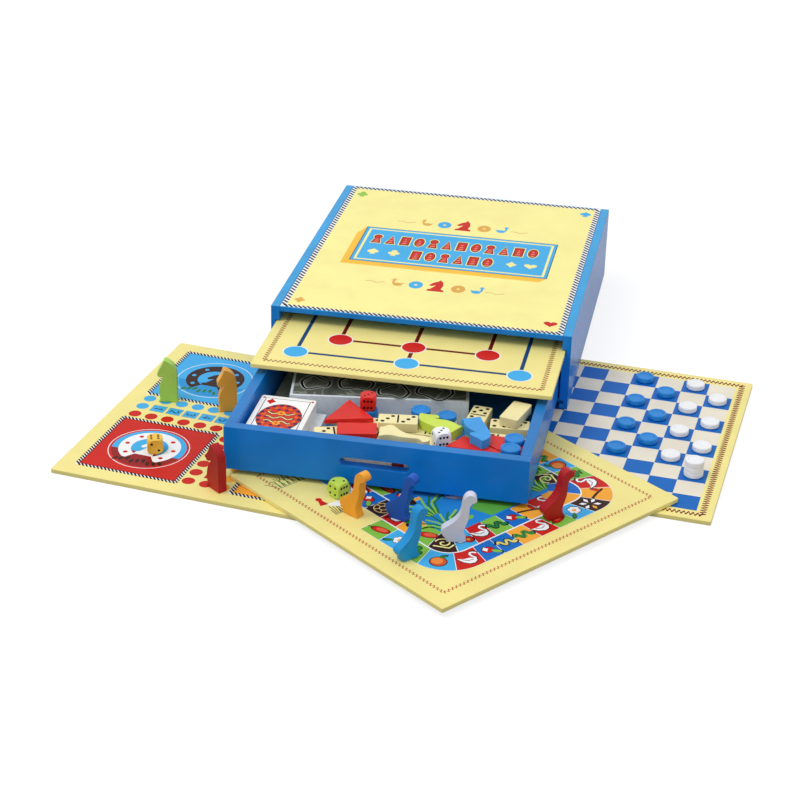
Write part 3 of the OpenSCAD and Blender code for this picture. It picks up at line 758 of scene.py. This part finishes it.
def print_goose():
    p = printed_face("goose_print", "goose_board", UP.cross(JOINT_AXIS["front_board_slide"]))
    p.seam(STITCH_TAN, GOOSE_SEAM_REACH, GOOSE_SEAM_REACH, **GOOSE_SEAM)
    outer, inner = rounded_path(OUTER_EDGE), rounded_path(INNER_EDGE)
    middles = [(a + b) / 2 for a, b in zip(outer, inner)]
    reached = [0.0]
    for a, b in zip(middles, middles[1:]):
        reached.append(reached[-1] + (b - a).length)

    def across_track(distance):
        """The outer and the inner edge of the track at a distance along it."""
        k = max(1, next((i for i, r in enumerate(reached) if r >= distance), len(reached) - 1))
        share = min(1, (distance - reached[k - 1]) / (reached[k] - reached[k - 1]))
        return outer[k - 1].lerp(outer[k], share), inner[k - 1].lerp(inner[k], share)

    p.shape(WHITE, rounded_path(OUTER_EDGE[:5] + [(-97.1, -4.8, 0)]))
    print_pond(p)
    start, inset = 0.0, CELL_GAP / TRACK_WIDTH
    for cell, (letter, length) in enumerate(zip(TRACK, CELLS)):
        end = min(start + length, reached[-1])
        first, run = start + CELL_GAP, end - start - 2 * CELL_GAP
        sides = [across_track(first + run * k / 12) for k in range(13)]
        ground = [a.lerp(b, inset) for a, b in sides] + [b.lerp(a, inset) for a, b in sides[::-1]]
        p.shape(CELL_COLOURS[letter], ground, 3)
        a, b = across_track((start + end) / 2)
        for scale, rim in MOTIF_SCALES:
            p.rim = rim
            p.at(*(a + b) / 2, degrees(atan2(b.y - a.y, b.x - a.x)) - 90, scale)
            MOTIFS[letter][cell % 3](p)
        p.at(0, 0)
        start = end
    print_start(p)
    p.make()


# The motifs of the cells, each drawn round the origin

def cell_bird(p):
    swimming_bird(p, WHITE, 0, 0, 19, 5)
    p.stroke(BLACK, [(-6, 0.4), (-1, -2.6), (4, -1.4)], 0.7, 5.6)


def cell_wheel(p):
    for r in (8.0, 3.2):
        p.arc(STRAW, 0, 0, r, 1.0, layer=4)
    for k in range(6):
        p.stroke(STRAW, [polar(3.4, 60 * k), polar(7.8, 60 * k)], 0.9, 4.3)


def cell_snail(p):
    coil = [(0.5 * k * cos(0.62 * k), 0.5 * k * sin(0.62 * k)) for k in range(2, 16)]
    p.stroke(PRINT_CREAM, coil, 1.5, 4)
    p.stroke(PRINT_CREAM, [(-8, -6), (6, -7), (9, -1)], 1.8, 4.4)


def cell_blossom(p):
    petal = [(2.6, 0), (6.6, 1.9), (10, 0), (6.6, -1.9)]
    for k in range(6):
        p.shape(ORANGE if k == 4 else WHITE, moved(petal, 0, 0, 60 * k), 4)


def cell_red_leaf(p):
    leaf(p, RED, 1, 0, 17, 4, turn=12)
    leaf(p, CORAL, 2, 0.8, 11, 5, turn=14)
    p.stroke(BROWN, [(-10, -2), (-5, -1.4)], 0.9, 5)


def cell_clover(p):
    suit_club(p, DEEP_GREEN, 0, 0, 15, 4)
    p.disc(RED, 3, -3, 1.8, 5, steps=12)


def cell_fruit(p):
    p.disc(FRUIT_SHADE, 0, -1, 6.8, 4)
    p.disc(FRUIT, -1.2, 0, 5.0, 5)
    leaf(p, DEEP_GREEN, 3, 7, 7, 5, turn=30)


def cell_flower(p):
    flower(p, WHITE, ORANGE, 2, 1, 13, 4)
    leaf(p, DEEP_GREEN, -6, -4, 8, 5, turn=30)


def cell_balls(p):
    p.disc(WHITE, -3, 0, 4.4, 4)
    p.disc(RED, 4, -1, 4.6, 4.5)
    p.disc(ORANGE, 4, -1, 1.8, 5, steps=12)


def cell_berry(p):
    p.disc(RED, 0, 0.6, 5.2, 4, squash=0.8)
    leaf(p, LEAF, 6, -4, 9, 5, turn=-40)
    suit_diamond(p, WHITE, -2, 2, 7, 5)


def cell_twig(p):
    p.stroke(BROWN, [(-8, 4), (0, 0.6), (8, -4)], 2.2, 4)
    leaf(p, RED, 6, 2, 8, 5, turn=80)


def cell_nut(p):
    p.disc(BROWN, 0, 0, 5.4, 4, squash=0.7)
    leaf(p, DEEP_GREEN, -6, 3, 10, 5, turn=20)


def cell_worm(colour, edge):
    """The motif of a plain wriggling worm in these colours."""
    def draw(p):
        line = [(-8 + k, 3.4 * sin(k * 0.75)) for k in range(17)]
        p.stroke(edge, line, 3.6, 4)
        p.stroke(colour, line, 2.4, 5)
        p.disc(colour, *line[-1], 2.2, 5.5, steps=12)
    return draw


# The motifs on each ground, by the cell's number
MOTIFS = {
    "R": [cell_bird] * 3,
    "K": [cell_wheel, cell_snail, cell_blossom],
    "G": [cell_red_leaf, cell_worm(DEEP_GREEN, BLACK), cell_clover],
    "S": [cell_fruit, cell_flower, cell_balls],
    "B": [cell_worm(PALE_STRAW, BLACK), cell_berry, cell_berry],
    "O": [cell_twig, cell_worm(DEEP_GREEN, LEAF), cell_nut],
}


def print_start(p):
    """Grass, a pawn and a bird by the start of the track."""
    for k in range(16):
        x, lean = -138 + 2.1 * k, (k * 7) % 11 - 5
        blade = [(x, 104), (x + lean * 0.5, 112 + k % 5), (x + lean * 1.4, 120 + k % 7)]
        p.stroke(DEEP_GREEN if k % 3 else BROWN, blade, 0.8, 2 + k / 40)
    for k in range(9):
        p.stroke(BROWN, [(-126 + 2 * k, 30), (-125 + 2 * k + (k * 5) % 4, 40 + (k * 7) % 9)], 0.9, 2 + k / 40)
    p.at(-116, 50, -10)
    pawn(p, RED, -8, 8, 15, 3)
    swimming_bird(p, WHITE, 4, 0, 22, 3)
    p.at(0, 0)


def print_pond(p):
    """Water with ripples, reeds, lily leaves and two birds, inside the spiral."""
    p.shape(WATER, [(-70, -69), (71, -69), (71, 71), (-41, 71), (-41, 1), (-70, 1)], 1.5)
    for k in range(26):
        x, y = -62 + (k * 37) % 124, -62 + (k * 53) % 122
        if x > -38 or y < -4:
            reach = 5 + (k * 7) % 9
            wave = [(x + reach * (i / 6 - 0.5) * 2, y + 1.2 * sin(i * 1.1 + k)) for i in range(7)]
            p.stroke(PALE_WATER if k % 3 else DARK_WATER, wave, 1.3, 2 + k / 40)
    for x, y, high in ((-62, -60, 1.0), (-58, -30, 1.15), (60, -62, 0.8)):
        for k in range(9):
            root, lean = x + k * 1.4, (k - 4) * 6 * high
            blade = [(root, y), (root + lean * 0.4, y + 16 * high),
                     (root + lean * 1.3, y + 30 * high - abs(k - 4) * 2)]
            p.stroke(REED_GREEN if k % 2 else DEEP_GREEN, blade, 2.4, 3 + k / 20)
    p.shape(POND_GREEN, [(-10, -66), (26, -66), (14, -44), (-2, -34), (-16, -44)], 3)
    for x, y in ((-30, -50), (30, -36), (44, 10), (0, 30)):
        p.arc(LEAF, x, y, 5, 6.5, 40, 330, 3.4)
    for x, y in ((-8, -14), (34, 34)):
        swimming_bird(p, BIRD_GREY, x + 1, y - 1, 30, 4)
        swimming_bird(p, WHITE, x, y, 27, 4.5)


# ---------- the draughts board ----------

DRAUGHTS_SEAM = dict(pitch=2.3, length=7.0, width=1.7, lean=66, zigzag=True)
DRAUGHTS_SEAM_OFFSET, SQUARE, SQUARES = 6.8, 28.4, 10


def print_draughts():
    p = printed_face("draughts_print", "draughts_board", JOINT_AXIS["right_board_slide"])
    half = SQUARE * SQUARES / 2
    p.panel(GREY_CREAM, half, half)
    for column in range(SQUARES):
        for row in range(SQUARES):
            if (column + row) % 2:
                x, y = half - (column + 1) * SQUARE, half - (row + 1) * SQUARE
                p.box(PRINT_BLUE, x, y, x + SQUARE, y + SQUARE, 2)
    edge = half + DRAUGHTS_SEAM_OFFSET
    p.seam(STITCH_RED, edge, edge, **DRAUGHTS_SEAM)
    p.make()


# ---------- dice, dominoes, sheets and cards ----------

PIPS = {0: [], 1: [(0, 0)], 2: [(-1, -1), (1, 1)], 3: [(-1, -1), (0, 0), (1, 1)],
        4: [(-1, -1), (-1, 1), (1, -1), (1, 1)], 5: [(-1, -1), (-1, 1), (1, -1), (1, 1), (0, 0)],
        6: [(-1, -1), (-1, 0), (-1, 1), (1, -1), (1, 0), (1, 1)]}
# The numbers on top of each die and on the two sides seen first
DIE_NUMBERS = {"die_yellow": (6, 2, 3), "die_green": (2, 4, 6), "stored_die_red": (3, 6, 2),
               "stored_die_white": (3, 6, 5)}
DIE_PIP, DIE_PIP_PLACE = 0.165, 0.45  # radius and distance from the middle, for a die that reaches 1
DOMINO_PIP, DOMINO_PIPS, DOMINO_HALF = 2.1, (5.0, 5.6), 10.4  # radius, pitch each way, and a half's middle
BLANK_FROM_X, BLANK_FROM_Z = 0.08, 0.062  # the domino beyond both is the blank, in metres


def flat_faces(polygons):
    """The six largest flat faces of a mesh, as (normal, middle)."""
    groups = {}
    for face in polygons:
        groups.setdefault(tuple(round(c, 2) + 0.0 for c in face.normal), []).append(face)
    found = []
    for faces in sorted(groups.values(), key=lambda faces: -sum(f.area for f in faces))[:6]:
        middle = sum((f.center * f.area for f in faces), Vector()) / sum(f.area for f in faces)
        found.append((faces[0].normal.copy(), middle))
    return found


def print_die(node, numbers):
    """Pips on a die. Opposite sides make seven."""
    faces = flat_faces(frame["nodes"][node].data.polygons)

    def opposite(face):
        return min(faces, key=lambda f: (f[0] + face[0]).length)

    top = max(faces, key=lambda f: f[0].z)
    around = [f for f in faces if f is not top and f is not opposite(top)]
    front = min(around, key=lambda f: f[0].y + 0.2 * f[0].x)
    right = max((f for f in around if abs(f[0].dot(front[0])) < 0.5), key=lambda f: f[0].x)
    half = (top[1] - opposite(top)[1]).length / 2 / MM
    pairs = []
    for face, number in zip((top, front, right), numbers):
        pairs += [(face, number), (opposite(face), 7 - number)]
    for k, ((normal, middle), number) in enumerate(pairs):
        across = front[0].cross(UP) if abs(normal.z) > 0.5 else UP
        p = Print(f"{node}_pips_{k}", node, middle, across.normalized(), normal)
        p.at(0, 0, scale=half)
        for x, y in PIPS[number]:
            p.disc(BLACK, x * DIE_PIP_PLACE, y * DIE_PIP_PLACE, DIE_PIP, 1.5, steps=16)
        p.make()


def islands(mesh):
    """The separate solids of a mesh, each as a list of its faces: normal, area and corners."""
    solid = bmesh.new()
    solid.from_mesh(mesh)
    bmesh.ops.remove_doubles(solid, verts=solid.verts, dist=SAME_PLACE)
    found, seen = [], set()
    for first in solid.faces:
        if first in seen:
            continue
        seen.add(first)
        todo, group = [first], []
        while todo:
            face = todo.pop()
            group.append((face.normal.copy(), face.calc_area(), [v.co.copy() for v in face.verts]))
            for other in (f for edge in face.edges for f in edge.link_faces):
                if other not in seen:
                    seen.add(other)
                    todo.append(other)
        found.append(group)
    solid.free()
    return found


def print_dominoes():
    """A bar and two groups of pips on each domino. The top one nearest the back right is the blank."""
    draw = random.Random(4)
    for k, group in enumerate(islands(frame["nodes"]["dominoes"].data)):
        corners = [v for _, _, points in group for v in points]
        top = max(v.z for v in corners)
        upper = [v for v in corners if v.z > top - 10 * SAME_PLACE]
        middle = sum(upper, Vector()) / len(upper)
        sides = [(n, area) for n, area, _ in group if abs(n.z) < 0.1]
        ends = [n for n, area in sides if area > 0.3 * max(a for _, a in sides)]
        across = max(ends, key=lambda n: max((v - middle).dot(n) for v in upper))
        low, high = Vector(map(min, *upper)), Vector(map(max, *upper))
        centre = Vector(((low.x + high.x) / 2, (low.y + high.y) / 2, top))
        p = Print(f"domino_face_{k}", "dominoes", centre, across.normalized())
        numbers = (draw.randint(2, 6), draw.randint(1, 6))
        if centre.z > BLANK_FROM_Z and centre.x > BLANK_FROM_X:
            continue
        p.panel(BLACK, 0.9, 8.2, 1.5)
        for half, number in zip((-1, 1), numbers):
            for x, y in PIPS[number]:
                x, y = half * DOMINO_HALF + x * DOMINO_PIPS[0], y * DOMINO_PIPS[1]
                p.disc(BLACK, x, y, DOMINO_PIP, 1.5, steps=16)
        p.make()


def print_sheets():
    """Large rounded outlines, black with pale edges, and thin grey curls on the top sheet."""
    p = printed_face("sheets_print", "printed_sheets", drop=0.0)
    w, h = (half - 14 for half in half_size("printed_sheets"))
    for k in range(4):
        x, y, r = -w + 2 * w * (k + 0.5) / 4, -h + 14 + (k % 2) * 10, 15 + (k * 3) % 5
        turns = [2 * pi * i / 30 for i in range(31)]
        outline = [(x + r * cos(t), y + r * 0.9 * sin(t) * (1 + 0.3 * cos(3 * t + k))) for t in turns]
        p.stroke(SHEET_PALE, outline, 4.4, 1)
        p.stroke(BLACK, outline, 2.8, 2)
    for k in range(5):
        x, r = -w + 2 * w * (k + 0.9) / 6, 14 + (k * 5) % 7
        p.arc(SHEET_GREY, x, h * 0.3, r, 1.2, 20 * k, 250 + 20 * k, 0.5, steps=20)
    p.make()


CARD_FRAME, CARD_LINE = 5.2, 0.7  # from the card's edge to its frame, and the frame's width
OVAL_INSET, OVAL_SQUASH, OVAL_Y = 6.4, 1.3, -4.0
# The oval's rings of diamonds: their share of its radius and their colour
OVAL_RINGS = ((0.92, CARD_NAVY), (0.76, CARD_ORANGE), (0.6, CARD_NAVY))


def print_card():
    """A playing card's face: a thin frame, corner diamonds and a plain patterned oval."""
    p = printed_face("card_print", "card_deck", drop=0.0)
    w, h = half_size("card_deck")
    p.panel(BLACK, w - CARD_FRAME, h - CARD_FRAME, 0.4)
    p.panel(CARD_WHITE, w - CARD_FRAME - CARD_LINE, h - CARD_FRAME - CARD_LINE, 0.8)
    reach = w - OVAL_INSET
    p.disc(BLACK, 0, OVAL_Y, reach + 0.5, 1.2, squash=OVAL_SQUASH, steps=40)
    p.disc(CARD_RED, 0, OVAL_Y, reach, 1.6, squash=OVAL_SQUASH, steps=40)
    for ring, (share, colour) in enumerate(OVAL_RINGS):
        count = 18 - 4 * ring
        for k in range(count):
            turn = 360 * (k + 0.5 * (ring % 2)) / count
            x, y = polar(reach * share, turn)
            p.at(x, OVAL_Y + OVAL_SQUASH * y, turn)
            suit_diamond(p, colour, 0, 0, 6.4 - ring * 0.6, 2 + ring * 0.4)
        p.at(0, 0)
    for k in range(3):
        y = OVAL_Y + 9 * (k - 1)
        band = [(reach * (0.124 * i - 0.62), y + 2.2 * sin(i * 1.2 + k)) for i in range(11)]
        p.stroke(CARD_NAVY, band, 3.2, 3.4)
        p.stroke(PRINT_CREAM, band, 1.4, 3.8)
    for y in (-12, 10):
        flower(p, ORANGE, RED, 0, OVAL_Y + y, 10, 4.4)
    for s in (-1, 1):
        suit_diamond(p, RED, s * (-w + 12.5), s * (h - 12.5), 12.5, 1.4)
        for side in (-1, 1):
            suit_diamond(p, RED, side * (w - 3.4), s * (h - 5), 4.4, 1)
    p.make()


print_case_top()
print_morris()
print_horse_race()
print_goose()
print_draughts()
for name, numbers in DIE_NUMBERS.items():
    print_die(name, numbers)
print_dominoes()
print_sheets()
print_card()


# ---------- camera, floor and light ----------

CAMERA_PLACE = (0.3296, -1.9026, 1.0004)
CAMERA_FORWARD, CAMERA_RIGHT = (-0.16501, 0.87431, -0.45645), (0.98023, 0.19659, 0.0222)
SENSOR_WIDTH, FOCAL_LENGTH = 36.0, 90.2  # in millimetres
FAR = 50
FLOOR_REACH, FLOOR_SHADE, FLOOR_LIFT = 14, 0.28, 0.78
GLOSS_SHARE = 0.6  # how much of the white ground the gloss sees
HORIZON_LIGHT, ZENITH_LIGHT = 0.42, 1.0
LAMP_PLACE, LAMP_SIZE, LAMP_POWER = (-1.5, -0.9, 3.2), 1.6, 34


def add_camera():
    """The photograph's view: its place, its direction and its focal length."""
    data = bpy.data.cameras.new("camera")
    data.sensor_fit = "HORIZONTAL"
    data.sensor_width = SENSOR_WIDTH
    data.lens = FOCAL_LENGTH
    data.clip_end = FAR
    camera = bpy.data.objects.new("camera", data)
    forward, right = Vector(CAMERA_FORWARD).normalized(), Vector(CAMERA_RIGHT).normalized()
    turn = Matrix((right, right.cross(forward), -forward)).transposed().to_4x4()
    camera.matrix_world = Matrix.Translation(CAMERA_PLACE) @ turn
    bpy.context.scene.collection.objects.link(camera)
    bpy.context.scene.camera = camera


def seen_share(tree):
    """1 to the camera, GLOSS_SHARE to the gloss and 0 to all other light."""
    path = add_node(tree, "LightPath")
    inputs = {0: path.outputs["Is Glossy Ray"], 1: GLOSS_SHARE, 2: path.outputs["Is Camera Ray"]}
    return add_node(tree, "Math", inputs, operation="MULTIPLY_ADD")


def add_floor():
    """A matt grey floor that keeps the shadow, lifted to white where it is seen."""
    mesh = bpy.data.meshes.new("floor")
    corners = [(x, y, 0) for (x, y), _ in box_sides(FLOOR_REACH, FLOOR_REACH)]
    mesh.from_pydata(corners, [], [(0, 1, 2, 3)])
    floor = bpy.data.objects.new("floor", mesh)
    bpy.context.scene.collection.objects.link(floor)
    material, tree, shader = new_material("floor_white")
    lift = add_node(tree, "Math", {0: seen_share(tree), 1: FLOOR_LIFT}, operation="MULTIPLY")
    feed(tree, shader, {"Base Color": (FLOOR_SHADE, FLOOR_SHADE, FLOOR_SHADE, 1), "Roughness": 0.9,
                        "Specular IOR Level": 0.0, "Emission Color": (1, 1, 1, 1), "Emission Strength": lift})
    mesh.materials.append(material)


def add_world():
    """Pale studio light from all round. What the camera and the gloss see is white."""
    world = bpy.data.worlds.new("studio")
    world.use_nodes = True
    tree = world.node_tree
    light = add_node(tree, "MapRange", {"Value": place_along(tree, "Z", "Generated"), "To Min": HORIZON_LIGHT,
                                    "To Max": ZENITH_LIGHT})
    strength = add_node(tree, "Mix", {"Factor": seen_share(tree), "A": light, "B": 1.0})
    feed(tree, tree.nodes["Background"], {"Color": (1, 1, 1, 1), "Strength": strength})
    bpy.context.scene.world = world


def add_lamp():
    """A square lamp that points at the middle of the object."""
    data = bpy.data.lights.new("key_lamp", "AREA")
    data.shape = "SQUARE"
    data.size = LAMP_SIZE
    data.energy = LAMP_POWER
    lamp = bpy.data.objects.new("key_lamp", data)
    lamp.location = LAMP_PLACE
    lamp.rotation_euler = (-Vector(LAMP_PLACE)).to_track_quat("-Z", "Y").to_euler()
    bpy.context.scene.collection.objects.link(lamp)


add_camera()
add_floor()
add_world()
add_lamp()
bpy.context.scene.view_settings.view_transform = "Standard"
